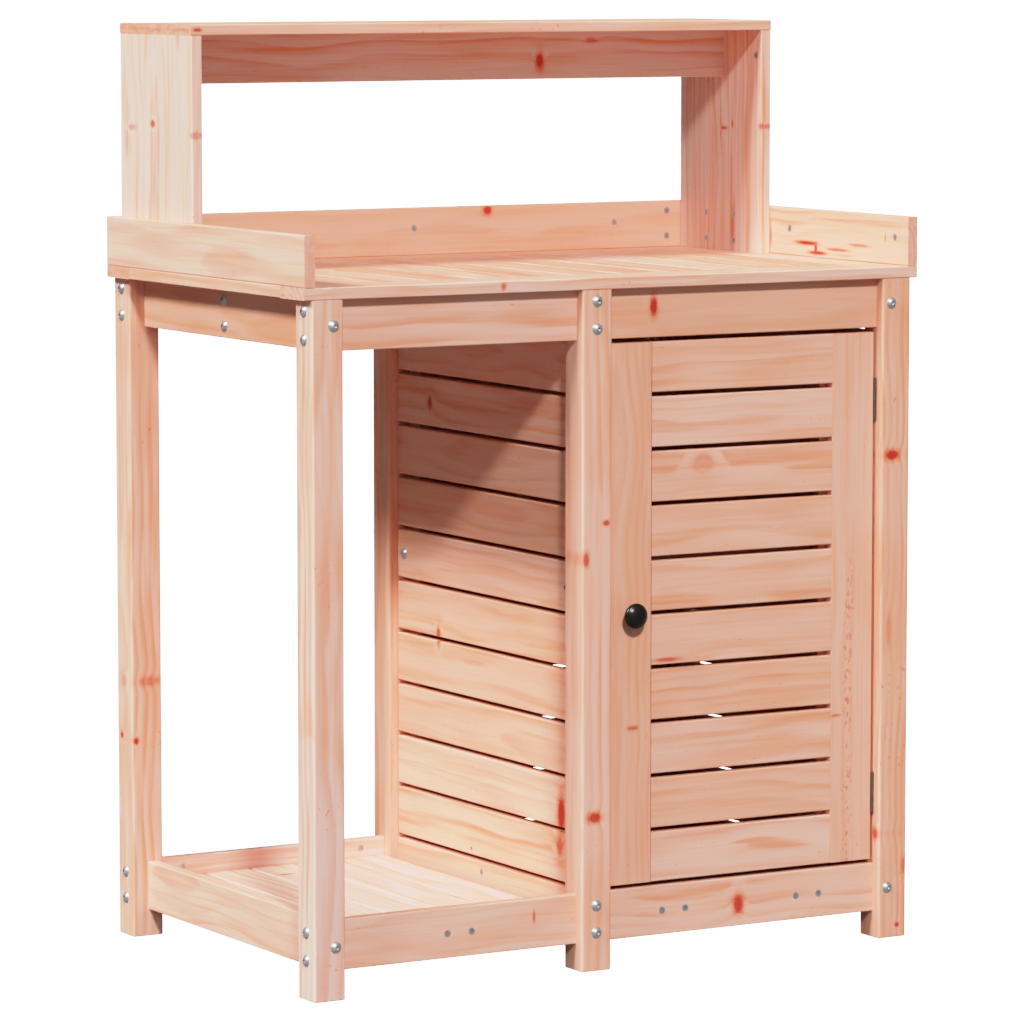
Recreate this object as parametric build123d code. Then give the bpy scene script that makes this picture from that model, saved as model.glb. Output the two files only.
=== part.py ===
from build123d import *

import os

# Potting bench in planed softwood: six posts, a slatted worktop with upstands and a small hutch,
# an open bay on the left and a slatted cabinet with one hinged door on the right.
# Millimetres. X runs along the front, Y from front to back, Z up.
# The origin is on the floor, under the middle of the worktop.

# Overall sizes
BENCH_WIDTH = 825.0
BENCH_DEPTH = 500.0
BENCH_HEIGHT = 1095.0

# Timber sections
BOARD_WIDTH = 58.5
BOARD_THICKNESS = 14.0
ROW_GAP = 5.4              # gap between the stacked rows of slats
BOARD_ROUND = 1.6          # eased long edges of a board
POST_SIZE = 40.0
POST_ROUND = 3.0
FOOT_CHAMFER = 1.0         # around the foot of a post
UPSTAND_THICKNESS = 13.0   # the three low walls around the worktop
TOP_SHELF_THICKNESS = 12.5
BATTEN_WIDTH = 28.0        # upright battens that the cabinet slats are fixed to
SLAT_END_GAP = 0.6         # play between the end of a slat and what it meets
BATTEN_END_GAP = 2.0       # play at the ends of the battens under the bottom shelves
BATTEN_POST_GAP = 1.5      # between a side panel's batten and the post beside it
BACK_BATTEN_POST_GAP = 3.0
INNER_SHELF_END_GAP = 6.0  # between the inner shelf and the planes of the posts

# Places of the frame
RAIL_BOTTOM = 32.0         # height of the bottom rails above the floor
WORKTOP_OVERHANG = 9.0     # worktop beyond the outer posts, left and right
SIDE_RAIL_SETBACK = 20.5   # outer face of a side rail behind the outer face of its posts
MIDDLE_POST_X = -32.0      # centre line of the middle posts
ROWS = 12                  # rows of boards from bottom rail to apron

# Shelves
SHELF_DROP = 23.0          # bottom shelf slats below the top edge of the rails
INNER_SHELF_ROW = 6        # row of the cabinet that carries the inner shelf
CROSS_RAIL_Y = 3.0         # rail under the worktop, near its middle

# Hutch
HUTCH_DEPTH = 187.0
HUTCH_BOARD = 14.0

# Door
DOOR_GAP = 3.4             # gap between the door and each post
BACKING_WIDTH = 30.0
SLAT_LAP = 9.5             # how far a backing reaches over the ends of the slats
KNOB_DIAMETER = 30.0
KNOB_REACH = 21.0

# Hinges: slim butt hinges that sit in the gap beside the door
HINGE_LENGTH = 50.0
HINGE_INSET = 80.0         # centre of a hinge from the end of the door
LEAF_THICKNESS = 1.0
LEAF_WIDTH = 12.5
KNUCKLE_RADIUS = 1.5
HINGE_PIN_RADIUS = 0.75
KNUCKLE_PLAY = 0.3
PIN_AXIS_PROUD = 0.6       # hinge line in front of the face of the door
PIN_PLAY = 0.02            # added to the radius of the bore for the pin
PIN_PROUD = 0.5            # pin beyond each end of its hinge

# Magnetic catch
CATCH_DROP = 75.0          # its middle below the top of the door
CATCH_LENGTH = 46.0
CATCH_WIDTH = 16.0
CATCH_DEPTH = 12.2
CATCH_PLAY = 0.3           # between the catch and its plate
CATCH_ROUND = 1.0
PLATE_LENGTH = 38.0
PLATE_WIDTH = 12.0
PLATE_THICKNESS = 1.2
PLATE_INSET = 1.0          # from the edge of the door
PLATE_ROUND = 0.8

# Fasteners
BOLT_RADIUS = 3.0
BOLT_HEAD_RADIUS = 7.0
BOLT_HEAD_HEIGHT = 3.6
BOLT_LENGTH = 68.0
BOLT_SPACING = 32.0        # two bolts in one rail end
SOCKET_RADIUS = 2.5        # hexagon socket in the head of a bolt
SOCKET_DEPTH = 2.2
SCREW_RADIUS = 1.8
SCREW_HEAD_RADIUS = 4.2
SCREW_HEAD_DEPTH = 2.6
CROSS_LENGTH = 4.9         # cross recess in the head of a screw
CROSS_WIDTH = 1.15
CROSS_DEPTH = 1.5
LONG_SCREW = 40.0          # through the rails into the shelf slats
SHORT_SCREW = 11.5         # in the upstands and the hutch
DOOR_SCREW = 24.0
HOLE_PLAY = 0.12           # added to the radius of every drilled hole
HOLE_OVERRUN = 0.5         # a hole beyond each end of its fastener

# Worked out
HALF_WIDTH = BENCH_WIDTH / 2
HALF_DEPTH = BENCH_DEPTH / 2
PITCH = BOARD_WIDTH + ROW_GAP
APRON_BOTTOM = RAIL_BOTTOM + (ROWS - 1) * PITCH
UNDERSIDE = APRON_BOTTOM + BOARD_WIDTH            # underside of the worktop
WORKTOP_TOP = UNDERSIDE + BOARD_THICKNESS
UPSTAND_TOP = WORKTOP_TOP + BOARD_WIDTH
RAIL_TOP = RAIL_BOTTOM + BOARD_WIDTH
PANEL_BOTTOM = RAIL_BOTTOM + PITCH
PANEL_TOP = APRON_BOTTOM - ROW_GAP
POST_X = HALF_WIDTH - WORKTOP_OVERHANG - POST_SIZE / 2
POST_Y = HALF_DEPTH - POST_SIZE / 2
POST_INNER_Y = HALF_DEPTH - POST_SIZE             # faces of the posts that look along the bench's depth
LEFT_BAY = (-POST_X + POST_SIZE / 2, MIDDLE_POST_X - POST_SIZE / 2)
RIGHT_BAY = (MIDDLE_POST_X + POST_SIZE / 2, POST_X - POST_SIZE / 2)
SIDE_RAIL_X = POST_X + POST_SIZE / 2 - SIDE_RAIL_SETBACK - BOARD_THICKNESS / 2
SHELF_TOP = RAIL_TOP - SHELF_DROP
SHELF_BOTTOM = SHELF_TOP - BOARD_THICKNESS
RAIL_INNER_Y = POST_Y - BOARD_THICKNESS / 2       # inner faces of the front and back rails
HALF_BOARD = BOARD_THICKNESS / 2
HUTCH_X = HALF_WIDTH - UPSTAND_THICKNESS          # outer faces of the hutch
HUTCH_BACK = HALF_DEPTH - UPSTAND_THICKNESS
HUTCH_FRONT = HUTCH_BACK - HUTCH_DEPTH
HUTCH_TOP = BENCH_HEIGHT - TOP_SHELF_THICKNESS
DOOR_LEFT = RIGHT_BAY[0] + DOOR_GAP
DOOR_RIGHT = RIGHT_BAY[1] - DOOR_GAP
DOOR_FRONT = -POST_Y - HALF_BOARD
DOOR_BACK = DOOR_FRONT + BOARD_THICKNESS
PIN_X = (DOOR_RIGHT + RIGHT_BAY[1]) / 2
PIN_Y = DOOR_FRONT - PIN_AXIS_PROUD
KNOB_X = DOOR_LEFT + BOARD_WIDTH / 2
KNOB_Z = (PANEL_BOTTOM + PANEL_TOP) / 2

parts = {}                 # node name to its solids
drills = []                # (bounding box, tool) of every hole that a fastener needs


def board(x, y, z, grain, edge=BOARD_ROUND):
    """A planed board between three pairs of coordinates, its edges along the grain eased."""
    size = (x[1] - x[0], y[1] - y[0], z[1] - z[0])
    centre = ((x[0] + x[1]) / 2, (y[0] + y[1]) / 2, (z[0] + z[1]) / 2)
    block = Pos(*centre) * Box(*size)
    return fillet(block.edges().filter_by(grain), edge)


def around(middle, width):
    """The pair of coordinates that lie half of width on each side of middle."""
    return (middle - width / 2, middle + width / 2)


def mirrored(pair):
    return (-pair[1], -pair[0])


def spread(span, count, width=BOARD_WIDTH):
    """Pairs of coordinates of count boards that fill span with equal gaps."""
    step = (span[1] - span[0] - width) / (count - 1)
    return [(span[0] + i * step, span[0] + i * step + width) for i in range(count)]


def row(number, count=1):
    """Height range of a row of boards; row 0 is the bottom rail."""
    bottom = RAIL_BOTTOM + number * PITCH
    return (bottom, bottom + (count - 1) * PITCH + BOARD_WIDTH)


def keep(name, *solids):
    parts[name] = list(solids)


# ---------------------------------------------------------------- frame

def make_posts():
    columns = {"left": -POST_X, "middle": MIDDLE_POST_X, "right": POST_X}
    for side, x in columns.items():
        for end, y in (("front", -POST_Y), ("back", POST_Y)):
            post = board(around(x, POST_SIZE), around(y, POST_SIZE), (0, UNDERSIDE), Axis.Z, POST_ROUND)
            post = chamfer(post.faces().sort_by(Axis.Z)[0].edges(), FOOT_CHAMFER)
            keep(f"{end}_{side}_post", post)


def make_rails():
    """Aprons under the worktop and bottom rails between the feet of the posts."""
    for level, z in (("apron", row(ROWS - 1)), ("bottom_rail", row(0))):
        for bay, x in (("left", LEFT_BAY), ("right", RIGHT_BAY)):
            for end, y in (("front", -POST_Y), ("back", POST_Y)):
                keep(f"{end}_{bay}_{level}", board(x, around(y, BOARD_THICKNESS), z, Axis.X))
        for side, x in (("left", -SIDE_RAIL_X), ("middle", MIDDLE_POST_X), ("right", SIDE_RAIL_X)):
            y = (-POST_INNER_Y, POST_INNER_Y)
            keep(f"{side}_{level}", board(around(x, BOARD_THICKNESS), y, z, Axis.Y))


def make_cross_rails():
    """Rails along the bench that hold up the middle of the worktop."""
    y = around(CROSS_RAIL_Y, BOARD_THICKNESS)
    left = (-SIDE_RAIL_X + HALF_BOARD, MIDDLE_POST_X - HALF_BOARD)
    right = (MIDDLE_POST_X + HALF_BOARD, SIDE_RAIL_X - HALF_BOARD)
    keep("left_cross_rail", board(left, y, row(ROWS - 1), Axis.X))
    keep("right_cross_rail", board(right, y, row(ROWS - 1), Axis.X))


# -------------------------------------------------------------- worktop

WORKTOP_SLATS = 13


def make_worktop():
    z = (UNDERSIDE, WORKTOP_TOP)
    full = (-HALF_WIDTH, HALF_WIDTH)
    edge_board = (-HALF_DEPTH, -HALF_DEPTH + BOARD_WIDTH)
    keep("worktop_front_board", board(full, edge_board, z, Axis.X))
    keep("worktop_back_board", board(full, mirrored(edge_board), z, Axis.X))
    reach = HALF_DEPTH - BOARD_WIDTH
    slats = [board(x, (-reach, reach), z, Axis.Y) for x in spread(full, WORKTOP_SLATS)]
    keep("worktop_slats", *slats)
    # Flat battens under the ends of the slats, one length in each bay
    batten_front = -RAIL_INNER_Y + SLAT_END_GAP
    batten_y = (batten_front, batten_front + BOARD_WIDTH)
    batten_z = (UNDERSIDE - BOARD_THICKNESS, UNDERSIDE)
    for end, y in (("front", batten_y), ("back", mirrored(batten_y))):
        lengths = [(bay[0] + SLAT_END_GAP, bay[1] - SLAT_END_GAP) for bay in (LEFT_BAY, RIGHT_BAY)]
        keep(f"{end}_worktop_battens", *[board(x, y, batten_z, Axis.X) for x in lengths])


def make_upstands():
    z = (WORKTOP_TOP, UPSTAND_TOP)
    side_x = (-HALF_WIDTH, -HUTCH_X)
    depth = (-HALF_DEPTH, HALF_DEPTH)
    keep("left_upstand", board(side_x, depth, z, Axis.Y))
    keep("right_upstand", board(mirrored(side_x), depth, z, Axis.Y))
    keep("back_upstand", board((-HUTCH_X, HUTCH_X), (HUTCH_BACK, HALF_DEPTH), z, Axis.X))


def make_hutch():
    depth = (HUTCH_FRONT, HUTCH_BACK)
    left_x = (-HUTCH_X, -HUTCH_X + HUTCH_BOARD)
    keep("hutch_left_side", board(left_x, depth, (WORKTOP_TOP, HUTCH_TOP), Axis.Z))
    keep("hutch_right_side", board(mirrored(left_x), depth, (WORKTOP_TOP, HUTCH_TOP), Axis.Z))
    keep("hutch_top_shelf", board((-HUTCH_X, HUTCH_X), depth, (HUTCH_TOP, BENCH_HEIGHT), Axis.X))
    rail_x = (-HUTCH_X + HUTCH_BOARD, HUTCH_X - HUTCH_BOARD)
    rail_y = around((HUTCH_FRONT + HUTCH_BACK) / 2, BOARD_THICKNESS)
    keep("hutch_rail", board(rail_x, rail_y, (HUTCH_TOP - BOARD_WIDTH, HUTCH_TOP), Axis.X))


# -------------------------------------------------------- bottom shelves

LEFT_SHELF_SLATS = 5
RIGHT_SHELF_SLATS = 6
SHELF_BATTEN_Y = 150.0


def shelf_slats(bay, count, y, z):
    span = (bay[0] + SLAT_END_GAP, bay[1] - SLAT_END_GAP)
    return [board(x, y, z, Axis.Y) for x in spread(span, count)]


def make_bottom_shelves():
    y = (-RAIL_INNER_Y, RAIL_INNER_Y)
    z = (SHELF_BOTTOM, SHELF_TOP)
    keep("left_shelf_slats", *shelf_slats(LEFT_BAY, LEFT_SHELF_SLATS, y, z))
    keep("right_shelf_slats", *shelf_slats(RIGHT_BAY, RIGHT_SHELF_SLATS, y, z))
    batten_z = (SHELF_BOTTOM - BOARD_THICKNESS, SHELF_BOTTOM)
    for end, middle in (("front", -SHELF_BATTEN_Y), ("back", SHELF_BATTEN_Y)):
        lengths = [(bay[0] + BATTEN_END_GAP, bay[1] - BATTEN_END_GAP) for bay in (LEFT_BAY, RIGHT_BAY)]
        battens = [board(x, around(middle, BOARD_WIDTH), batten_z, Axis.X) for x in lengths]
        keep(f"{end}_shelf_battens", *battens)


# ---------------------------------------------------------------- cabinet

PANEL_ROWS = range(1, ROWS - 1)
INNER_SHELF_SLATS = 6
BATTEN_EDGE = POST_INNER_Y - BATTEN_POST_GAP
BATTEN_Y = (BATTEN_EDGE - BATTEN_WIDTH, BATTEN_EDGE)   # battens of the two side panels


def side_panel(x):
    y = (-POST_INNER_Y + SLAT_END_GAP, POST_INNER_Y - SLAT_END_GAP)
    return [board(around(x, BOARD_THICKNESS), y, row(number), Axis.Y) for number in PANEL_ROWS]


def make_cabinet():
    keep("divider_slats", *side_panel(MIDDLE_POST_X))
    keep("right_panel_slats", *side_panel(SIDE_RAIL_X))
    back_x = (RIGHT_BAY[0] + SLAT_END_GAP, RIGHT_BAY[1] - SLAT_END_GAP)
    back = [board(back_x, around(POST_Y, BOARD_THICKNESS), row(n), Axis.X) for n in PANEL_ROWS]
    keep("back_panel_slats", *back)

    z = (PANEL_BOTTOM, PANEL_TOP)
    divider_x = (MIDDLE_POST_X + HALF_BOARD, MIDDLE_POST_X + HALF_BOARD + BOARD_THICKNESS)
    right_x = (SIDE_RAIL_X - HALF_BOARD - BOARD_THICKNESS, SIDE_RAIL_X - HALF_BOARD)
    for name, x in (("divider_battens", divider_x), ("right_panel_battens", right_x)):
        keep(name, *[board(x, y, z, Axis.Z) for y in (mirrored(BATTEN_Y), BATTEN_Y)])
    back_y = (RAIL_INNER_Y - BOARD_THICKNESS, RAIL_INNER_Y)
    first = RIGHT_BAY[0] + BACK_BATTEN_POST_GAP
    last = RIGHT_BAY[1] - BACK_BATTEN_POST_GAP
    left = (first, first + BATTEN_WIDTH)
    right = (last - BATTEN_WIDTH, last)
    keep("back_panel_battens", *[board(x, back_y, z, Axis.Z) for x in (left, right)])

    # Inner shelf: a rail from panel to panel at the front and at the back, with slats across them
    rail_x = (divider_x[1], right_x[0])
    rail_y = around((BATTEN_Y[0] + BATTEN_Y[1]) / 2, BOARD_THICKNESS)
    for end, y in (("front", mirrored(rail_y)), ("back", rail_y)):
        keep(f"inner_shelf_{end}_rail", board(rail_x, y, row(INNER_SHELF_ROW), Axis.X))
    shelf_z = around(row(INNER_SHELF_ROW)[1] + HALF_BOARD, BOARD_THICKNESS)
    shelf_x = (rail_x[0] + SLAT_END_GAP, rail_x[1] - SLAT_END_GAP)
    shelf_y = (-POST_INNER_Y + INNER_SHELF_END_GAP, POST_INNER_Y - INNER_SHELF_END_GAP)
    slats = [board(x, shelf_y, shelf_z, Axis.Y) for x in spread(shelf_x, INNER_SHELF_SLATS)]
    keep("inner_shelf_slats", *slats)


# ------------------------------------------------------------------- door

def make_door():
    y = (DOOR_FRONT, DOOR_BACK)
    z = (PANEL_BOTTOM, PANEL_TOP)
    left = (DOOR_LEFT, DOOR_LEFT + BOARD_WIDTH)
    right = (DOOR_RIGHT - BOARD_WIDTH, DOOR_RIGHT)
    keep("door_left_stile", board(left, y, z, Axis.Z))
    keep("door_right_stile", board(right, y, z, Axis.Z))
    keep("door_slats", *[board((left[1], right[0]), y, row(n), Axis.X) for n in PANEL_ROWS])
    behind = (DOOR_BACK, DOOR_BACK + BOARD_THICKNESS)
    left_backing = (left[1] + SLAT_LAP - BACKING_WIDTH, left[1] + SLAT_LAP)
    right_backing = (right[0] - SLAT_LAP, right[0] - SLAT_LAP + BACKING_WIDTH)
    keep("door_backings", *[board(x, behind, z, Axis.Z) for x in (left_backing, right_backing)])


def make_knob():
    """A turned knob: a foot ring, a waist and a domed head with a small flat tip."""
    rim = KNOB_DIAMETER / 2
    foot, foot_height = 7.0, 1.6
    shoulder, waist, neck = (5.4, 3.2), (5.0, 5.8), (7.5, 8.4)
    under_rim, widest, over_rim = (rim - 1.8, 9.8), (rim, 12.8), (rim - 2.2, 17.0)
    dome = (rim / 2, KNOB_REACH - 1.0)
    tip = (1.5, KNOB_REACH)
    with BuildPart() as turned:
        with BuildSketch(Plane.XZ):
            with BuildLine():
                Polyline(tip, (0, KNOB_REACH), (0, 0), (foot, 0), (foot, foot_height), shoulder)
                ThreePointArc(shoulder, waist, neck)
                Line(neck, under_rim)
                ThreePointArc(under_rim, widest, over_rim)
                ThreePointArc(over_rim, dome, tip)
            make_face()
        revolve(axis=Axis.Z)
    keep("knob", Location((KNOB_X, DOOR_FRONT, KNOB_Z), (90, 0, 0)) * turned.part)


# ----------------------------------------------------------------- hinges

def knuckle(z):
    outside = Cylinder(KNUCKLE_RADIUS, z[1] - z[0])
    inside = Cylinder(HINGE_PIN_RADIUS + PIN_PLAY, z[1] - z[0])
    return Pos(PIN_X, PIN_Y, (z[0] + z[1]) / 2) * (outside - inside)


def leaf(x, z, knuckles):
    """A flat leaf in the gap beside the door, with a tab that runs to each of its knuckles."""
    back = PIN_Y + KNUCKLE_RADIUS + KNUCKLE_PLAY
    middle = ((x[0] + x[1]) / 2, back + LEAF_WIDTH / 2, (z[0] + z[1]) / 2)
    solid = Pos(*middle) * Box(x[1] - x[0], LEAF_WIDTH, z[1] - z[0])
    bore = Pos(PIN_X, PIN_Y, middle[2]) * Cylinder(HINGE_PIN_RADIUS + PIN_PLAY, z[1] - z[0])
    for span in knuckles:
        tab_centre = (middle[0], (PIN_Y + back) / 2, (span[0] + span[1]) / 2)
        tab = Pos(*tab_centre) * Box(x[1] - x[0], back - PIN_Y, span[1] - span[0])
        solid = solid + knuckle(span) + (tab - bore)
    return solid


def make_hinges():
    door_leaves = []
    post_leaves = []
    pins = []
    third = HINGE_LENGTH / 3
    for middle in (PANEL_BOTTOM + HINGE_INSET, PANEL_TOP - HINGE_INSET):
        z = around(middle, HINGE_LENGTH)
        inner = (z[0] + third, z[1] - third)
        low = (z[0], inner[0] - KNUCKLE_PLAY)
        high = (inner[1] + KNUCKLE_PLAY, z[1])
        door_leaves.append(leaf((DOOR_RIGHT, DOOR_RIGHT + LEAF_THICKNESS), z, [inner]))
        post_leaves.append(leaf((RIGHT_BAY[1] - LEAF_THICKNESS, RIGHT_BAY[1]), z, [low, high]))
        pins.append(Pos(PIN_X, PIN_Y, middle) * Cylinder(HINGE_PIN_RADIUS, HINGE_LENGTH + 2 * PIN_PROUD))
    keep("hinge_door_leaves", *door_leaves)
    keep("hinge_post_leaves", *post_leaves)
    keep("hinge_pins", *pins)


def make_catch():
    """Magnetic catch on the middle post, which also stops the door; its plate is on the door."""
    middle = PANEL_TOP - CATCH_DROP
    plate_back = DOOR_BACK + PLATE_THICKNESS
    catch_front = plate_back + CATCH_PLAY
    x = (RIGHT_BAY[0], RIGHT_BAY[0] + CATCH_WIDTH)
    y = (catch_front, catch_front + CATCH_DEPTH)
    keep("magnetic_catch", board(x, y, around(middle, CATCH_LENGTH), Axis.Z, CATCH_ROUND))
    plate_left = DOOR_LEFT + PLATE_INSET
    plate_x = (plate_left, plate_left + PLATE_WIDTH)
    plate_y = (DOOR_BACK, plate_back)
    keep("catch_plate", board(plate_x, plate_y, around(middle, PLATE_LENGTH), Axis.Y, PLATE_ROUND))


# -------------------------------------------------------------- fasteners

def button_bolt():
    """A domed bolt along -Z from its head, which sits on the plane Z = 0."""
    sphere_radius = (BOLT_HEAD_RADIUS ** 2 + BOLT_HEAD_HEIGHT ** 2) / (2 * BOLT_HEAD_HEIGHT)
    ball = Pos(0, 0, BOLT_HEAD_HEIGHT - sphere_radius) * Sphere(sphere_radius)
    head = ball & (Pos(0, 0, BOLT_HEAD_HEIGHT / 2) * Cylinder(BOLT_HEAD_RADIUS, BOLT_HEAD_HEIGHT))
    socket = extrude(RegularPolygon(SOCKET_RADIUS, 6), BOLT_HEAD_HEIGHT)
    head = head - Pos(0, 0, BOLT_HEAD_HEIGHT - SOCKET_DEPTH) * socket
    return head + Pos(0, 0, -BOLT_LENGTH / 2) * Cylinder(BOLT_RADIUS, BOLT_LENGTH)


def countersunk_screw(length):
    """A cross-head screw along -Z whose flat head is level with the plane Z = 0."""
    head = Pos(0, 0, -SCREW_HEAD_DEPTH / 2) * Cone(SCREW_RADIUS, SCREW_HEAD_RADIUS, SCREW_HEAD_DEPTH)
    shank = Pos(0, 0, -length / 2) * Cylinder(SCREW_RADIUS, length)
    slot = Box(CROSS_LENGTH, CROSS_WIDTH, 2 * CROSS_DEPTH)
    return (head + shank) - slot - Rot(0, 0, 90) * slot


def bolt_hole():
    return Pos(0, 0, -BOLT_LENGTH / 2) * Cylinder(BOLT_RADIUS + HOLE_PLAY, BOLT_LENGTH + 2 * HOLE_OVERRUN)


def screw_hole(length):
    wide = SCREW_HEAD_RADIUS + HOLE_PLAY
    narrow = SCREW_RADIUS + HOLE_PLAY
    sink = Pos(0, 0, -SCREW_HEAD_DEPTH / 2) * Cone(narrow, wide, SCREW_HEAD_DEPTH)
    return sink + Pos(0, 0, -length / 2) * Cylinder(narrow, length + 2 * HOLE_OVERRUN)


OUTWARD = {"-X": (0, -90, 0), "+X": (0, 90, 0), "-Y": (90, 0, 0), "+Y": (-90, 0, 0)}


def set_fasteners(places, shape, hole):
    """Copies of a fastener at (outward direction, point), with a hole noted for each."""
    solids = []
    for direction, point in places:
        location = Location(point, OUTWARD[direction])
        solids.append(location * shape)
        tool = location * hole
        drills.append((tool.bounding_box(), tool))
    return solids


def bolt_places():
    places = []
    rail_middles = ((row(0)[0] + row(0)[1]) / 2, (row(ROWS - 1)[0] + row(ROWS - 1)[1]) / 2)
    pair = (-BOLT_SPACING / 2, BOLT_SPACING / 2)
    for z in rail_middles:
        for y in (-POST_Y, POST_Y):
            for dz in pair:
                places.append(("-X", (-POST_X - POST_SIZE / 2, y, z + dz)))
                places.append(("+X", (POST_X + POST_SIZE / 2, y, z + dz)))
        for direction, y in (("-Y", -HALF_DEPTH), ("+Y", HALF_DEPTH)):
            places.append((direction, (-SIDE_RAIL_X, y, z)))
            places.append((direction, (SIDE_RAIL_X, y, z)))
            for dz in pair:
                places.append((direction, (MIDDLE_POST_X, y, z + dz)))
    for dz in pair:
        z = rail_middles[1] + dz
        places.append(("-X", (-SIDE_RAIL_X - HALF_BOARD, CROSS_RAIL_Y, z)))
        places.append(("+X", (SIDE_RAIL_X + HALF_BOARD, CROSS_RAIL_Y, z)))
    inner_z = (row(INNER_SHELF_ROW)[0] + row(INNER_SHELF_ROW)[1]) / 2
    for y in (-(BATTEN_Y[0] + BATTEN_Y[1]) / 2, (BATTEN_Y[0] + BATTEN_Y[1]) / 2):
        places.append(("-X", (MIDDLE_POST_X - HALF_BOARD, y, inner_z)))
        places.append(("+X", (SIDE_RAIL_X + HALF_BOARD, y, inner_z)))
    return places


SCREW_PAIR = 16.0          # half the distance between two screws in one rail


def long_screw_places():
    """Screws through the front and back rails into the ends of shelf slats."""
    places = []
    z = (SHELF_BOTTOM + SHELF_TOP) / 2
    left_step = (LEFT_BAY[1] - LEFT_BAY[0]) / 2
    right_quarter = (RIGHT_BAY[1] - RIGHT_BAY[0]) / 4
    middles = (LEFT_BAY[0] + left_step, RIGHT_BAY[0] + right_quarter, RIGHT_BAY[1] - right_quarter)
    for x in middles:
        for dx in (-SCREW_PAIR, SCREW_PAIR):
            places.append(("-Y", (x + dx, -POST_Y - HALF_BOARD, z)))
            places.append(("+Y", (x + dx, POST_Y + HALF_BOARD, z)))
    return places


UPSTAND_SCREW_LOW = 14.0   # heights of screws above the worktop
UPSTAND_SCREW_MIDDLE = 33.0
UPSTAND_SCREW_HIGH = 46.0
BACK_SCREW_X = (-288.0, 0.0, 288.0)
SIDE_SCREW_Y = (-222.0, 6.0)
CORNER_SCREW_X = 366.0     # pairs near the ends of the back upstand
HUTCH_SCREW_Y = (111.0, 175.0)
HUTCH_EDGE = 12.5          # screws of the hutch rail from the edges of the hutch sides
HUTCH_SCREW_DROP = 31.0
SHELF_SCREW_END = 33.0     # screws above the left shelf, from the posts
SHELF_SCREW_RISE = 11.0
SHELF_SCREW_Y = 5.0


def short_screw_places():
    """Short screws in the upstands, the hutch and the rails around the left shelf."""
    places = []
    pair = (WORKTOP_TOP + UPSTAND_SCREW_LOW, WORKTOP_TOP + UPSTAND_SCREW_HIGH)
    middle = WORKTOP_TOP + UPSTAND_SCREW_MIDDLE
    for x in BACK_SCREW_X:
        places.append(("-Y", (x, HUTCH_BACK, middle)))
    for y in SIDE_SCREW_Y:
        places.append(("+X", (-HUTCH_X, y, middle)))
        places.append(("-X", (HUTCH_X, y, middle)))
    for x in (-CORNER_SCREW_X, CORNER_SCREW_X):
        for z in pair:
            places.append(("-Y", (x, HUTCH_BACK, z)))
    inside = HUTCH_X - HUTCH_BOARD
    for y in HUTCH_SCREW_Y:
        for z in pair:
            places.append(("+X", (-inside, y, z)))
            places.append(("-X", (inside, y, z)))
    for y in (HUTCH_FRONT + HUTCH_EDGE, HUTCH_BACK - HUTCH_EDGE):
        places.append(("+X", (-inside, y, HUTCH_TOP - HUTCH_SCREW_DROP)))
        places.append(("-X", (inside, y, HUTCH_TOP - HUTCH_SCREW_DROP)))
    over_shelf = SHELF_TOP + SHELF_SCREW_RISE
    for x in (LEFT_BAY[0] + SHELF_SCREW_END, LEFT_BAY[1] - SHELF_SCREW_END):
        places.append(("-Y", (x, POST_Y - HALF_BOARD, over_shelf)))
    places.append(("-X", (MIDDLE_POST_X - HALF_BOARD, SHELF_SCREW_Y, over_shelf)))
    return places


SLAT_SCREW = 4.8           # screws in the door's backings, from the seam between slats and stile
STILE_SCREW = 11.0
STILE_SCREW_ROWS = (1, 4, 7, 10)


def door_screw_places():
    """Screws through the backings into the slats and the stiles, and the screw of the knob."""
    places = []
    back = DOOR_BACK + BOARD_THICKNESS
    seams = ((DOOR_LEFT + BOARD_WIDTH, 1), (DOOR_RIGHT - BOARD_WIDTH, -1))
    for seam, towards_slats in seams:
        for number in PANEL_ROWS:
            z = (row(number)[0] + row(number)[1]) / 2
            places.append(("+Y", (seam + towards_slats * SLAT_SCREW, back, z)))
        for number in STILE_SCREW_ROWS:
            z = row(number)[0] + BOARD_WIDTH / 4
            places.append(("+Y", (seam - towards_slats * STILE_SCREW, back, z)))
    places.append(("+Y", (KNOB_X, DOOR_BACK, KNOB_Z)))
    return places


def make_fasteners():
    keep("bolts", *set_fasteners(bolt_places(), button_bolt(), bolt_hole()))
    long = set_fasteners(long_screw_places(), countersunk_screw(LONG_SCREW), screw_hole(LONG_SCREW))
    short = set_fasteners(short_screw_places(), countersunk_screw(SHORT_SCREW), screw_hole(SHORT_SCREW))
    keep("bench_screws", *long, *short)
    door = set_fasteners(door_screw_places(), countersunk_screw(DOOR_SCREW), screw_hole(DOOR_SCREW))
    keep("door_screws", *door)


UNDRILLED = ("bolts", "bench_screws", "door_screws", "catch_plate", "magnetic_catch")


def meets(a, b):
    """True where two bounding boxes overlap."""
    lowest = zip(a.min, b.max)
    highest = zip(b.min, a.max)
    return all(low < high for low, high in lowest) and all(low < high for low, high in highest)


def drill_wood():
    """Cuts the fasteners' holes in every board that they reach."""
    for name, solids in parts.items():
        if name in UNDRILLED or name.startswith("hinge"):
            continue
        for index, solid in enumerate(solids):
            box = solid.bounding_box()
            for tool_box, tool in drills:
                if meets(box, tool_box):
                    solid = solid - tool
            solids[index] = solid


def write_parts():
    os.makedirs("parts", exist_ok=True)
    for name, solids in parts.items():
        pieces = [piece for solid in solids for piece in solid.solids()]
        shape = pieces[0] if len(pieces) == 1 else Compound(children=pieces)
        shape.label = name
        export_step(shape, f"parts/{name}.step")


make_posts()
make_rails()
make_cross_rails()
make_worktop()
make_upstands()
make_hutch()
make_bottom_shelves()
make_cabinet()
make_door()
make_knob()
make_hinges()
make_catch()
make_fasteners()
drill_wood()
write_parts()
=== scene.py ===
import math

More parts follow.
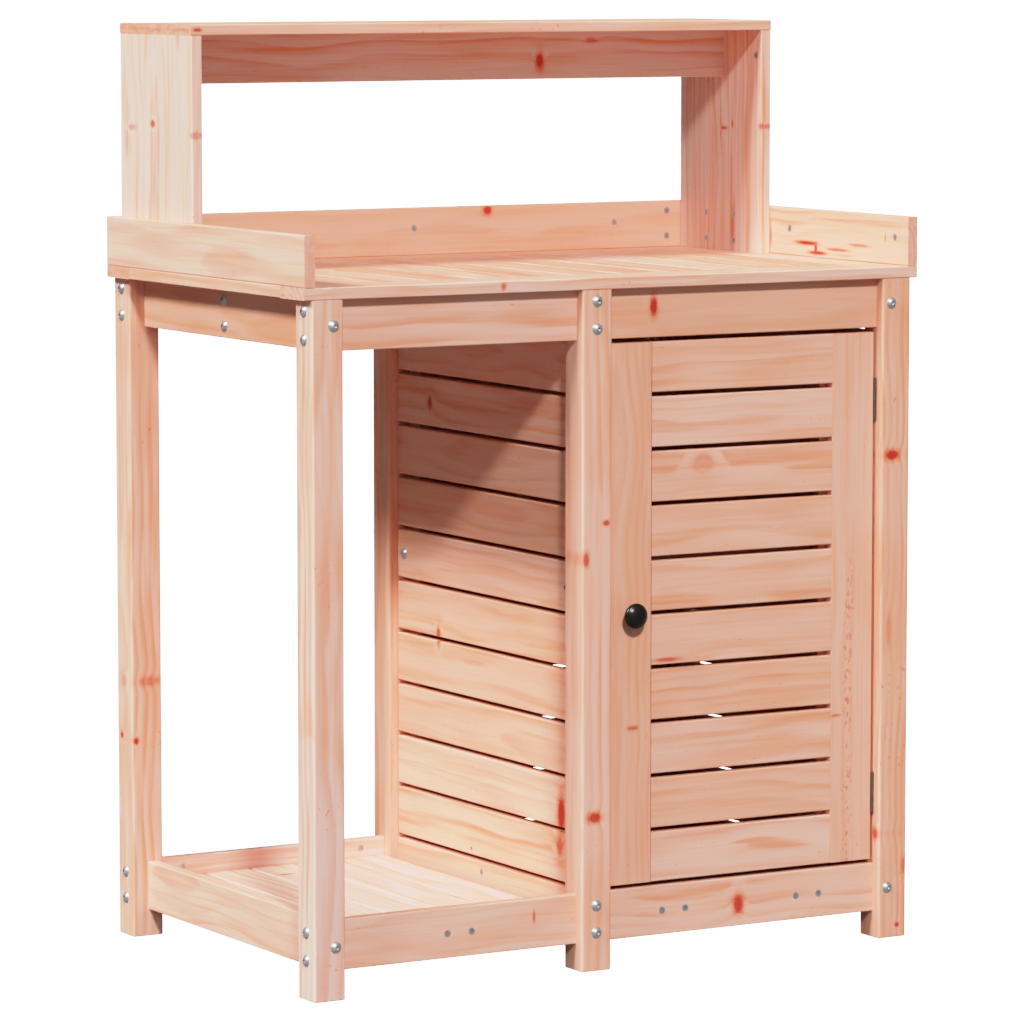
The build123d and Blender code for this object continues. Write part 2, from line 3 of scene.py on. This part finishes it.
import bmesh
import bpy
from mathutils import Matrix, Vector


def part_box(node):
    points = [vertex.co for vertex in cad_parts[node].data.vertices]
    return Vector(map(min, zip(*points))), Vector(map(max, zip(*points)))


# Potting bench in clear-finished softwood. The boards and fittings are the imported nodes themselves.
# This script gives each board its own piece of wood and each fitting its finish, and sets up the
# floor, the light and the camera.

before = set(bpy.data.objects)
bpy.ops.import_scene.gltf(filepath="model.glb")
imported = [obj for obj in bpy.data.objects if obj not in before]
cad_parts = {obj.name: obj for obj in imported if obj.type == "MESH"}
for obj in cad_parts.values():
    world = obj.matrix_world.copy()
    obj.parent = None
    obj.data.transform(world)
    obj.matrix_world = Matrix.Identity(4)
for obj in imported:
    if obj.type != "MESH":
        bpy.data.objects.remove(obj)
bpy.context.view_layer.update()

AXES = {"X": 0, "Y": 1, "Z": 2}
MM = 1000.0                # millimetres in a metre

# ------------------------------------------------------------------------------ shader maths


class Value:
    """One number that varies over a surface. Arithmetic on it adds Math nodes."""

    def __init__(self, finish, socket):
        self.finish = finish
        self.socket = socket

    def _math(self, operation, *terms):
        node = self.finish.node("ShaderNodeMath", {"operation": operation}, dict(enumerate(terms)))
        return Value(self.finish, node.outputs[0])

    def __add__(self, other):
        return self._math("ADD", self, other)

    def __radd__(self, other):
        return self._math("ADD", other, self)

    def __sub__(self, other):
        return self._math("SUBTRACT", self, other)

    def __rsub__(self, other):
        return self._math("SUBTRACT", other, self)

    def __mul__(self, other):
        return self._math("MULTIPLY", self, other)

    def __rmul__(self, other):
        return self._math("MULTIPLY", other, self)

    def __truediv__(self, other):
        return self._math("DIVIDE", self, other)

    def __rtruediv__(self, other):
        return self._math("DIVIDE", other, self)

    def __abs__(self):
        return self._math("ABSOLUTE", self)

    def floor(self):
        return self._math("FLOOR", self)

    def most(self, other):
        return self._math("MAXIMUM", self, other)

    def root(self):
        return self._math("SQRT", self)

    def exp(self):
        return self._math("EXPONENT", self)

    def rise(self, low, high):
        """0 below low, 1 above high, and a smooth step between them."""
        node = self.finish.node("ShaderNodeMapRange", {"interpolation_type": "SMOOTHSTEP"},
                                {"Value": self, "From Min": low, "From Max": high})
        return Value(self.finish, node.outputs["Result"])


class Shading:
    """A node tree under construction."""

    def __init__(self, tree):
        self.tree = tree
        tree.nodes.clear()

    def node(self, kind, settings, inputs):
        """Adds a node, makes its settings, then fills its sockets with values or links."""
        node = self.tree.nodes.new(kind)
        for name, value in settings.items():
            setattr(node, name, value)
        for name, value in inputs.items():
            self.fill(node.inputs[name], value)
        return node

    def fill(self, socket, value):
        """Links a varying value to a socket, or sets a fixed one."""
        if isinstance(value, Value):
            value = value.socket
        if isinstance(value, bpy.types.NodeSocket):
            self.tree.links.new(value, socket)
        else:
            socket.default_value = value

    def place(self):
        """The object coordinates in millimetres, as three values."""
        coordinates = self.node("ShaderNodeTexCoord", {}, {})
        split = self.node("ShaderNodeSeparateXYZ", {}, {0: coordinates.outputs["Object"]})
        return [Value(self, output) * MM for output in split.outputs]

    def vector(self, x, y, z):
        return self.node("ShaderNodeCombineXYZ", {}, {0: x, 1: y, 2: z}).outputs[0]

    def noise(self, x, y, z, detail=2.0, roughness=0.5):
        """Soft noise between 0 and 1 with one bump to the unit."""
        inputs = {"Vector": self.vector(x, y, z), "Scale": 1.0, "Detail": detail,
                  "Roughness": roughness}
        return Value(self, self.node("ShaderNodeTexNoise", {}, inputs).outputs[0])

    def chance(self, x, seed):
        """Three unrelated numbers between 0 and 1 for each value of x."""
        inputs = {"Vector": self.vector(x, seed, 0.0)}
        noise = self.node("ShaderNodeTexWhiteNoise", {"noise_dimensions": "2D"}, inputs)
        split = self.node("ShaderNodeSeparateColor", {}, {0: noise.outputs["Color"]})
        return [Value(self, output) for output in split.outputs]

    def mix(self, share, first, second, way="MIX"):
        """Colour first with share of second laid over it."""
        settings = {"data_type": "RGBA", "blend_type": way}
        return self.node("ShaderNodeMix", settings, {0: share, 6: first, 7: second}).outputs[2]

    def bump(self, height, strength, distance):
        inputs = {"Height": height, "Strength": strength, "Distance": distance}
        return self.node("ShaderNodeBump", {}, inputs).outputs[0]


class Finish(Shading):
    """A material whose surface is a Principled shader."""

    def __init__(self, name):
        self.material = bpy.data.materials.new(name)
        self.material.use_nodes = True
        super().__init__(self.material.node_tree)
        self.shader = self.node("ShaderNodeBsdfPrincipled", {}, {})
        self.node("ShaderNodeOutputMaterial", {}, {"Surface": self.shader.outputs[0]})

    def surface(self, **inputs):
        for name, value in inputs.items():
            self.fill(self.shader.inputs[name.replace("_", " ")], value)
        return self.material


# --------------------------------------------------------------------------------------- wood

EARLY_WOOD = (0.80, 0.39, 0.262, 1.0)
PALE_WOOD = (0.83, 0.50, 0.40, 1.0)
LATE_WOOD = (0.72, 0.215, 0.09, 1.0)
TAN = (0.77, 0.29, 0.135, 1.0)
BLUSH = (0.78, 0.30, 0.17, 1.0)
HEART_OF_KNOT = (0.52, 0.022, 0.014, 1.0)
RIM_OF_KNOT = (0.80, 0.17, 0.07, 1.0)
RESIN = (0.62, 0.075, 0.035, 1.0)
SAPWOOD = (0.78, 0.50, 0.43, 1.0)
# Paler, greyer wood laid over boards in shade: painted neutral fill light, not a tone of the wood
PAINTED_FILL_WOOD = (0.80, 0.60, 0.54, 1.0)

# Nodes made of several boards: which way the grain runs, which way the boards are laid, how many
BOARDS = {
    "worktop_slats": ("Y", "X", 13),
    "left_shelf_slats": ("Y", "X", 5),
    "right_shelf_slats": ("Y", "X", 6),
    "inner_shelf_slats": ("Y", "X", 6),
    "divider_slats": ("Y", "Z", 10),
    "right_panel_slats": ("Y", "Z", 10),
    "back_panel_slats": ("X", "Z", 10),
    "door_slats": ("X", "Z", 10),
    "door_backings": ("Z", "X", 2),
    "divider_battens": ("Z", "Y", 2),
    "right_panel_battens": ("Z", "Y", 2),
    "back_panel_battens": ("Z", "X", 2),
    "front_worktop_battens": ("X", "X", 2),
    "back_worktop_battens": ("X", "X", 2),
    "front_shelf_battens": ("X", "X", 2),
    "back_shelf_battens": ("X", "X", 2),
    "hutch_left_side": ("Z", "Y", 3),
    "hutch_right_side": ("Z", "Y", 3),
    "hutch_top_shelf": ("X", "Y", 3),
}

# Knots and resin streaks: which way across the grain, place along the grain and across it as
# shares of the node's box, half width across and half length along in mm, and depth of colour
KNOTS = {
    "hutch_rail": [("Z", 0.655, 0.38, 10.0, 5.5, 0.95), ("Z", 0.75, 0.80, 3.0, 8.0, 0.5)],
    "hutch_top_shelf": [("Z", 0.010, 0.5, 2.4, 6.0, 0.8)],
    "back_upstand": [("Z", 0.63, 0.90, 5.5, 6.5, 1.0)],
    "right_upstand": [("Z", 0.434, 0.29, 2.4, 22.0, 1.0), ("Z", 0.396, 0.19, 6.0, 3.0, 0.9),
                      ("Z", 0.388, 0.10, 2.4, 19.0, 0.9), ("Z", 0.300, 0.20, 1.8, 24.0, 0.6),
                      ("Z", 0.210, 0.33, 1.8, 20.0, 0.5), ("Z", 0.596, 0.40, 14.0, 1.6, 0.5),
                      ("Z", 0.097, 0.55, 5.0, 1.2, 0.4)],
    "front_right_apron": [("Z", 0.17, 0.61, 12.5, 5.5, 1.0)],
    "front_right_post": [("X", 0.735, 0.37, 10.0, 6.5, 1.0), ("Y", 0.16, 0.20, 5.5, 7.0, 0.8),
                         ("X", 0.109, 0.92, 4.5, 12.0, 0.5), ("X", 0.019, 0.68, 3.0, 3.0, 0.9),
                         ("X", 0.47, 0.30, 4.5, 20.0, 0.22)],
    "front_right_bottom_rail": [("Z", 0.49, 0.45, 12.0, 7.5, 0.9)],
    "front_middle_post": [("X", 0.66, 0.80, 4.5, 3.5, 0.8), ("X", 0.228, 0.42, 9.5, 6.5, 0.9),
                          ("X", 0.608, 0.12, 4.2, 9.0, 0.7)],
    "back_left_post": [("X", 0.390, 0.60, 15.0, 6.0, 0.42), ("Y", 0.390, 0.55, 6.0, 9.0, 0.35),
                       ("X", 0.300, 0.13, 3.4, 4.4, 1.0), ("Y", 0.306, 0.70, 4.0, 4.4, 0.9)],
    "hutch_left_side": [("Y", 0.62, 0.54, 6.0, 4.4, 0.75), ("Y", 0.60, 0.84, 10.0, 3.5, 0.3),
                        ("Y", 0.58, 0.0, 5.0, 4.0, 0.35), ("Y", 0.10, 0.0, 5.0, 8.0, 0.45)],
    "hutch_right_side": [("Y", 0.556, 0.45, 8.0, 2.2, 0.55), ("Y", 0.575, 0.35, 2.2, 5.0, 0.6),
                         ("Y", 0.12, 0.34, 4.0, 30.0, 0.35), ("Y", 0.33, 0.36, 2.4, 36.0, 0.3),
                         ("Y", 0.57, 0.0, 5.0, 3.0, 0.5)],
    "divider_slats": [("Z", 0.81, 0.85, 10.0, 5.0, 0.8), ("Z", 0.066, 0.125, 22.0, 9.0, 1.0),
                      ("Z", 0.075, 0.065, 14.0, 7.0, 0.6), ("Z", 0.761, 0.405, 13.0, 4.5, 0.8),
                      ("Z", 0.57, 0.012, 2.0, 2.0, 0.8)],
    "left_shelf_slats": [("X", 0.866, 0.459, 13.0, 2.5, 0.8)],
    "front_left_bottom_rail": [("Z", 0.818, 0.64, 7.0, 1.8, 0.6)],
    "worktop_front_board": [("Z", 0.31, 0.53, 4.3, 3.5, 0.6)],
    "door_slats": [("Z", 0.28, 0.775, 10.0, 13.0, 0.22), ("Z", 0.08, 0.412, 2.6, 17.0, 0.6)],
    "door_left_stile": [("X", 0.29, 0.57, 7.4, 2.8, 0.6)],
    "door_right_stile": [("X", 0.28, 0.13, 7.4, 1.8, 0.5)],
}

# Nodes whose tone isn't left to chance: shares of pale wood, of blush and of painted fill light
# (paler, greyer wood laid on boards in shade in place of neutral light); on those shaded boards the
# pale share is partly painted fill light too
TONES = {
    "front_left_post": (0.85, 0.1, 0.1),
    "left_upstand": (0.2, 0.45, 0.3),
    "door_left_stile": (0.1, 0.45, 0.0),
    "door_right_stile": (0.25, 0.35, 0.05),
    "front_right_apron": (0.05, 0.7, 0.0),
    "front_right_post": (0.25, 0.5, 0.0),
    "hutch_rail": (1.0, 0.0, 1.0),
    "left_apron": (0.0, 0.9, 0.0),
    "back_upstand": (0.2, 0.5, 0.0),
    "hutch_left_side": (0.9, 0.1, 0.4),
    "hutch_right_side": (1.0, 0.0, 0.55),
    "left_shelf_slats": (0.9, 0.05, 0.35),
    "back_left_bottom_rail": (0.9, 0.0, 0.8),
    "worktop_front_board": (0.3, 0.3, 0.35),
    "left_bottom_rail": (0.3, 0.3, 0.25),
}

# Lines of resin drops: share across, half width in mm, how far up they reach as a share
DROP_LINES = {"door_right_stile": (0.42, 9.0, 0.62)}

# Sapwood at the foot of a board, up to this share of its length
SAPWOOD_LINES = {"front_left_post": 0.315}
SAPWOOD_SLANT = 0.05       # how much lower the line is on the left than on the right
SAPWOOD_WAVE = 0.02        # and how much it follows the bands

# How a board lies in its log, in mm
CUT_SPREAD = 900.0         # how far along the log the boards of one node are cut
CUT_STEP = 131.0           # how much further along it the next node's are
SWAY, SWAY_LENGTH = 34.0, 230.0        # the heart wanders across the board, over this length
HEAVE, HEAVE_LENGTH = 30.0, 300.0      # and nearer and further, over this one
HEART_BEHIND = 24.0        # least depth of the heart behind the middle of the board
HEART_SPREAD = 60.0        # how much its depth and offset differ between boards
RIPPLE = 6.0               # small waves in the rings
KNOT_PUSH = 1.1            # how far a knot pushes the rings, in its smaller half sizes
RING_SPACING, RING_SPREAD = 7.0, 8.0   # closest rings, and how much wider they can be

# Size of one soft bump in each pattern, in mm along the grain and across it
RIPPLE_SIZE = (150.0, 12.0)
BREAK_SIZE = (170.0, 9.0)              # where the rings fade
FIBRE_LENGTH, FIBRES_PER_MM = 70.0, 1.1
BAND_SIZE = (280.0, 6.0)
CLOUD_SIZE = (160.0, 30.0)
FLECK_SIZE = (5.0, 1.6, 4.0)           # along, across and into the board
FLECK_ZONE_SIZE = (90.0, 9.0)
DROP_SIZE = (7.0, 3.5, 9.0)            # along, across and into the board
KNOT_EDGE_SIZE = 2.6

END_DARK = 0.2             # how much of the blush a cut end takes up
JUST_BELOW_ONE = 0.9999    # keeps the far edge of a node in its last board


class Wood(Finish):
    """The wood of one node: each of its boards has rings, fibres, flecks and knots of its own."""

    def __init__(self, name, seed):
        super().__init__(f"wood_{name}")
        self.name = name
        self.seed = seed
        self.lay_boards()
        self.bend_rings()
        self.grow_knots()
        self.split_rings()
        self.draw_grain()
        self.spill_resin()

    def at(self, axis, share):
        """Where this share of the node's box lies along an axis, in mm."""
        return self.low[axis] + share * self.size[axis]

    def share(self, axis):
        """Which share of the node's box along an axis a point is at."""
        return (self.point[axis] - self.low[axis]) / self.size[axis]

    def lay_boards(self):
        """Finds which board a point belongs to, and the point's place in that board."""
        low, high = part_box(self.name)
        size = [(high[i] - low[i]) * MM for i in range(3)]
        middle = [(low[i] + high[i]) / 2 * MM for i in range(3)]
        self.low, self.size = [low[i] * MM for i in range(3)], size
        thick, across, along = sorted(range(3), key=lambda axis: size[axis])
        laid, count = along, 1
        if self.name in BOARDS:
            grain, lay, count = BOARDS[self.name]
            along, laid = AXES[grain], AXES[lay]
            across = [axis for axis in range(3) if axis not in (along, thick)][0]
        self.along, self.across, self.middle = along, across, middle[along]
        self.has_cut_ends = count == 1 or laid != along
        self.point = point = self.place()

        if count > 1:
            pitch = size[laid] / count
            which = ((point[laid] - self.low[laid]) / pitch * JUST_BELOW_ONE).floor()
            board_middle = self.low[laid] + (which + 0.5) * pitch
        else:
            which = point[laid] * 0.0
            board_middle = middle[laid]
        self.own = self.chance(which, self.seed * 3.7)
        self.tone = self.chance(which, self.seed * 5.3 + 40.0)
        self.shift = self.seed * 17.0 + which * 5.0

        centre = list(middle)
        if laid == across:
            centre[across] = board_middle
        self.along_mm = point[along] + self.own[0] * CUT_SPREAD + self.seed * CUT_STEP
        self.across_mm = point[across] - centre[across]
        self.deep_mm = point[thick] - centre[thick]

    def pattern(self, size, shift=0.0, detail=2.0):
        """Soft noise with bumps of this size along the grain and across it."""
        length, width = size
        return self.noise(self.along_mm / length, self.across_mm / width,
                          self.deep_mm / width + self.shift + shift, detail)

    def bend_rings(self):
        """Rings of a log whose heart lies behind the board, bent by slow waves along the grain."""
        along, shift = self.along_mm, self.shift
        self.sway = (self.noise(along / SWAY_LENGTH, shift, 0.0, 1.0) - 0.5) * SWAY
        heave = (self.noise(along / HEAVE_LENGTH, shift, 9.0, 1.0) - 0.5) * HEAVE
        heart_across = self.across_mm + self.sway + (self.own[1] - 0.5) * HEART_SPREAD
        heart_deep = self.deep_mm + heave + HEART_BEHIND + self.own[2] * HEART_SPREAD
        radius = (heart_across * heart_across + heart_deep * heart_deep).root()
        self.radius = radius + (self.pattern(RIPPLE_SIZE) - 0.5) * RIPPLE

    def grow_knots(self):
        """The node's knots: their hearts, the glow around them, and the rings pushed aside."""
        self.heart = None
        self.glow = None
        if self.name not in KNOTS:
            return
        ragged = self.noise(*(value / KNOT_EDGE_SIZE for value in self.point)) - 0.5
        for knot in KNOTS[self.name]:
            letter, share_along, share_across, half_across, half_along, depth = knot
            axis = AXES[letter]
            run = (self.point[self.along] - self.at(self.along, share_along)) / half_along
            side = (self.point[axis] - self.at(axis, share_across)) / half_across
            reach = (run * run + side * side).root()
            near = (-0.35 * reach * reach).exp()
            self.radius = self.radius + near * min(half_across, half_along) * KNOT_PUSH
            edge = reach + ragged * 0.55
            heart = (1.0 - edge.rise(0.55, 1.1)) * depth
            glow = (1.0 - edge.rise(0.75, 1.8)) * depth
            self.heart = heart if self.heart is None else self.heart.most(heart)
            self.glow = glow if self.glow is None else self.glow.most(glow)

    def split_rings(self):
        """Each ring's place in the year, and its dark late wood, which is broken here and there."""
        turn = self.radius / (RING_SPACING + self.tone[2] * RING_SPREAD)
        number = turn.floor()
        self.in_ring = turn - number
        strength = 0.3 + self.chance(number, self.seed + 9.0)[0] * 0.7
        late = self.in_ring.rise(0.2, 0.85) * (1.0 - self.in_ring.rise(0.85, 1.0)) * strength
        length, width = BREAK_SIZE
        broken = self.noise(self.along_mm / length, self.across_mm / width, self.shift)
        self.late = late * (0.3 + 0.7 * broken.rise(0.35, 0.62))

    def draw_grain(self):
        """Fine fibres, tan bands along the board and wide clouds of warmer wood."""
        self.fibre = self.noise(self.along_mm / FIBRE_LENGTH, self.across_mm * FIBRES_PER_MM,
                                self.deep_mm * FIBRES_PER_MM, 3.0, 0.6)
        length, width = BAND_SIZE
        self.bands = self.noise(self.along_mm / length, (self.across_mm + self.sway * 0.5) / width,
                                self.deep_mm / width + self.shift)
        self.cloud = self.pattern(CLOUD_SIZE, 50.0, 1.0)

    def specks(self, size):
        """Noise for small spots of resin: bumps of this size along, across and into the board."""
        return self.noise(self.along_mm / size[0], self.across_mm / size[1],
                          self.deep_mm / size[2] + self.shift, 1.0)

    def spill_resin(self):
        """Small flecks in some zones, and the node's line of drops if it has one."""
        flecks = self.specks(FLECK_SIZE)
        length, width = FLECK_ZONE_SIZE
        zone = self.noise(self.along_mm / length, self.across_mm / width, self.shift + 3.0, 1.0)
        self.resin = flecks.rise(0.66, 0.76) * zone.rise(0.55, 0.68)
        if self.name in DROP_LINES:
            share, half_width, top = DROP_LINES[self.name]
            line = self.point[self.across] + self.sway * 0.3 - self.at(self.across, share)
            off_line = (abs(line) / half_width).rise(0.3, 1.0)
            above = self.share(self.along).rise(top - 0.1, top)
            drops = self.specks(DROP_SIZE).rise(0.54, 0.66)
            self.resin = self.resin.most(drops * (1.0 - off_line) * (1.0 - above))

    def colour(self):
        """The board's tone, with painted fill light on boards in shade, and bands, rings, fibres,
        resin and knots laid over it.
        """
        pale, red, painted_fill = self.tone[0] * 0.75, 0.2 + self.tone[1] * 0.5, 0.0
        if self.name in TONES:
            pale, red, painted_fill = TONES[self.name]
        colour = self.mix(pale, EARLY_WOOD, PALE_WOOD)
        # Painted fill light: boards in shade take paler, greyer wood in place of neutral light
        if painted_fill:
            colour = self.mix(painted_fill, colour, PAINTED_FILL_WOOD)
        if self.name in SAPWOOD_LINES:
            slant = (1.0 - self.share(0)) * SAPWOOD_SLANT
            above = self.share(self.along) - SAPWOOD_LINES[self.name] - slant
            above = above - self.bands * SAPWOOD_WAVE
            colour = self.mix((1.0 - above.rise(0.0, 0.006)) * 0.9, colour, SAPWOOD)
            red = red + above.rise(0.0, 0.01) * 0.6
        colour = self.mix(self.cloud.rise(0.42, 0.7) * red, colour, BLUSH)
        colour = self.mix(self.bands.rise(0.5, 0.7) * (0.25 + self.tone[1] * 0.35), colour, TAN)
        colour = self.mix(self.late * (0.6 + self.tone[1] * 0.4), colour, LATE_WOOD)
        colour = self.mix(self.fibre.rise(0.45, 0.75) * 0.2, colour, LATE_WOOD)
        colour = self.mix(self.resin * 0.6, colour, RESIN)
        if self.heart is not None:
            thread = self.in_ring.rise(0.55, 0.8) * (1.0 - self.in_ring.rise(0.85, 0.97))
            colour = self.mix(self.glow * 0.85, colour, RIM_OF_KNOT)
            colour = self.mix(self.glow * thread * 0.5, colour, RESIN)
            colour = self.mix(self.heart, colour, HEART_OF_KNOT)
        if self.has_cut_ends:
            half = self.size[self.along] / 2
            end = abs(self.point[self.along] - self.middle).rise(half - 0.8, half - 0.2)
            colour = self.mix(end * END_DARK, colour, BLUSH, "MULTIPLY")
        return colour


def wood(name, seed):
    finish = Wood(name, seed)
    roughness = 0.46 + finish.fibre * 0.12 + finish.late * 0.06
    relief = finish.bump(finish.late * 0.5 + finish.fibre * 0.35, 0.25, 0.0004)
    return finish.surface(Base_Color=finish.colour(), Roughness=roughness, Normal=relief,
                          Specular_IOR_Level=0.35)


# ----------------------------------------------------------------------------------- fittings

DULL_ZINC, BRIGHT_ZINC = (0.42, 0.43, 0.44, 1.0), (0.62, 0.63, 0.64, 1.0)
DARK_BRONZE, WORN_BRONZE = (0.07, 0.045, 0.035, 1.0), (0.12, 0.075, 0.055, 1.0)
BLACK, DUSTY_BLACK = (0.004, 0.003, 0.003, 1.0), (0.009, 0.007, 0.007, 1.0)


def zinc():
    finish = Finish("bright_zinc")
    x, y, z = finish.place()
    spangle = finish.noise(x / 1.5, y / 1.5, z / 1.5)
    smear = finish.noise(x / 5.0, y / 5.0, z / 5.0)
    colour = finish.mix(spangle.rise(0.3, 0.7), DULL_ZINC, BRIGHT_ZINC)
    return finish.surface(Base_Color=colour, Metallic=0.8, Roughness=0.26 + smear * 0.2,
                          Normal=finish.bump(spangle, 0.1, 0.0002))


def dark_bronze():
    finish = Finish("dark_bronze")
    x, y, z = finish.place()
    grain = finish.noise(x / 0.8, y / 0.8, z / 3.0, 3.0)
    colour = finish.mix(grain.rise(0.35, 0.7), DARK_BRONZE, WORN_BRONZE)
    return finish.surface(Base_Color=colour, Metallic=0.35, Roughness=0.5 + grain * 0.15,
                          Normal=finish.bump(grain, 0.15, 0.0002))


def black_gloss():
    finish = Finish("black_gloss")
    x, y, z = finish.place()
    dust = finish.noise(x / 2.0, y / 2.0, z / 2.0, 3.0)
    colour = finish.mix(dust.rise(0.4, 0.8), BLACK, DUSTY_BLACK)
    return finish.surface(Base_Color=colour, Roughness=0.2 + dust * 0.12,
                          Normal=finish.bump(dust, 0.05, 0.0002), Specular_IOR_Level=0.3)


FITTINGS = {
    "bolts": zinc, "bench_screws": zinc, "door_screws": zinc, "catch_plate": zinc,
    "hinge_door_leaves": dark_bronze, "hinge_post_leaves": dark_bronze, "hinge_pins": dark_bronze,
    "knob": black_gloss, "magnetic_catch": black_gloss,
}


def dress_nodes():
    """One finish for each kind of fitting, and a piece of wood of its own for every other node."""
    made = {}
    for seed, (name, piece) in enumerate(sorted(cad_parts.items())):
        if name in FITTINGS:
            recipe = FITTINGS[name]
            if recipe not in made:
                made[recipe] = recipe()
            material = made[recipe]
        else:
            material = wood(name, float(seed))
        for slot in piece.material_slots:
            slot.material = material


# ------------------------------------------------------------------------------------- studio

FLOOR_HALF = 150.0         # half the side of the floor, metres
FLOOR_TONE = 0.13          # how much light the floor throws back on the bench
FLOOR_GLOW = 4.0           # brightness that the floor adds where it is seen directly

# Windows: name, which way their light travels, strength, spread in degrees
WINDOWS = (
    ("front_window", (0.35, 1.0, -0.79), 3.6, 6.0),
    ("left_window", (1.0, 0.08, -0.87), 5.2, 12.0),
)
SKY_BASE = 0.08
SKY_ABOVE = 0.16           # how much brighter the room is straight above
SKY_AHEAD = 0.3            # and towards the front of the bench
SKY_TINT = (1.0, 0.98, 0.965, 1.0)
BACKDROP = 6.0             # brightness of the backdrop where it is seen directly
WHITE = (1.0, 1.0, 1.0, 1.0)

# Film curve: scene light as a share of FILM_WHITE, against what is seen
FILM_WHITE = 4.0
FILM_CURVE = ((0.075, 0.29), (0.105, 0.39), (0.17, 0.57), (0.2125, 0.68), (0.355, 0.81),
              (0.5, 0.89), (0.75, 0.97))
ALL_CHANNELS = 3           # the curve that acts on red, green and blue together

CAMERA_PLACE = (-3.1401, -5.3646, 1.1844)
CAMERA_YAW = 30.346        # turned from +Y towards +X, degrees
CAMERA_DIP = 6.173         # looking down, degrees
LENS = 183.7               # mm, on a square SENSOR mm wide
SENSOR = 36.0


def make_floor():
    """A matt floor that glows white to the camera alone."""
    mesh = bpy.data.meshes.new("floor")
    sheet = bmesh.new()
    bmesh.ops.create_grid(sheet, x_segments=1, y_segments=1, size=FLOOR_HALF)
    sheet.to_mesh(mesh)
    sheet.free()
    floor = bpy.data.objects.new("floor", mesh)
    bpy.context.collection.objects.link(floor)
    finish = Finish("pale_floor")
    finish.surface(Base_Color=(FLOOR_TONE, FLOOR_TONE, FLOOR_TONE, 1.0), Roughness=0.9,
                   Specular_IOR_Level=0.0)
    matt = finish.shader.outputs[0]
    seen = finish.node("ShaderNodeLightPath", {}, {}).outputs["Is Camera Ray"]
    glow = finish.node("ShaderNodeEmission", {}, {"Strength": FLOOR_GLOW}).outputs[0]
    both = finish.node("ShaderNodeAddShader", {}, {0: matt, 1: glow}).outputs[0]
    shown = finish.node("ShaderNodeMixShader", {}, {0: seen, 1: matt, 2: both}).outputs[0]
    finish.node("ShaderNodeOutputMaterial", {"is_active_output": True}, {"Surface": shown})
    mesh.materials.append(finish.material)


def make_sky():
    """A pale room, brighter above and in front, and plain white where it is seen directly."""
    world = bpy.data.worlds.new("studio")
    bpy.context.scene.world = world
    world.use_nodes = True
    sky = Shading(world.node_tree)
    toward = sky.node("ShaderNodeTexCoord", {}, {}).outputs["Generated"]
    split = sky.node("ShaderNodeSeparateXYZ", {}, {0: toward})
    above = Value(sky, split.outputs[2]).most(0.0)
    ahead = (Value(sky, split.outputs[1]) * -1.0).most(0.0)
    strength = above * above * SKY_ABOVE + ahead * ahead * SKY_AHEAD + SKY_BASE
    light = sky.node("ShaderNodeBackground", {}, {"Color": SKY_TINT, "Strength": strength})
    backdrop = sky.node("ShaderNodeBackground", {}, {"Color": WHITE, "Strength": BACKDROP})
    seen = sky.node("ShaderNodeLightPath", {}, {}).outputs["Is Camera Ray"]
    both = sky.node("ShaderNodeMixShader", {},
                    {0: seen, 1: light.outputs[0], 2: backdrop.outputs[0]})
    sky.node("ShaderNodeOutputWorld", {}, {"Surface": both.outputs[0]})


def make_windows():
    for name, travel, strength, spread in WINDOWS:
        light = bpy.data.lights.new(name, "SUN")
        light.energy = strength
        light.angle = math.radians(spread)
        window = bpy.data.objects.new(name, light)
        window.rotation_euler = Vector(travel).to_track_quat("-Z", "Y").to_euler()
        bpy.context.collection.objects.link(window)


def set_film():
    """Soft highlights, so that bright wood keeps its grain and the backdrop is white."""
    view = bpy.context.scene.view_settings
    view.view_transform = "Standard"
    view.use_curve_mapping = True
    film = view.curve_mapping
    film.white_level = (FILM_WHITE, FILM_WHITE, FILM_WHITE)
    for light, seen in FILM_CURVE:
        film.curves[ALL_CHANNELS].points.new(light, seen)
    film.update()


def make_camera():
    camera = bpy.data.cameras.new("camera")
    camera.lens = LENS
    camera.sensor_width = SENSOR
    camera.clip_start = 0.1
    camera.clip_end = 400.0
    holder = bpy.data.objects.new("camera", camera)
    holder.location = CAMERA_PLACE
    holder.rotation_euler = (math.radians(90.0 - CAMERA_DIP), 0.0, math.radians(-CAMERA_YAW))
    bpy.context.collection.objects.link(holder)
    bpy.context.scene.camera = holder


dress_nodes()
make_floor()
make_sky()
make_windows()
make_camera()
set_film()
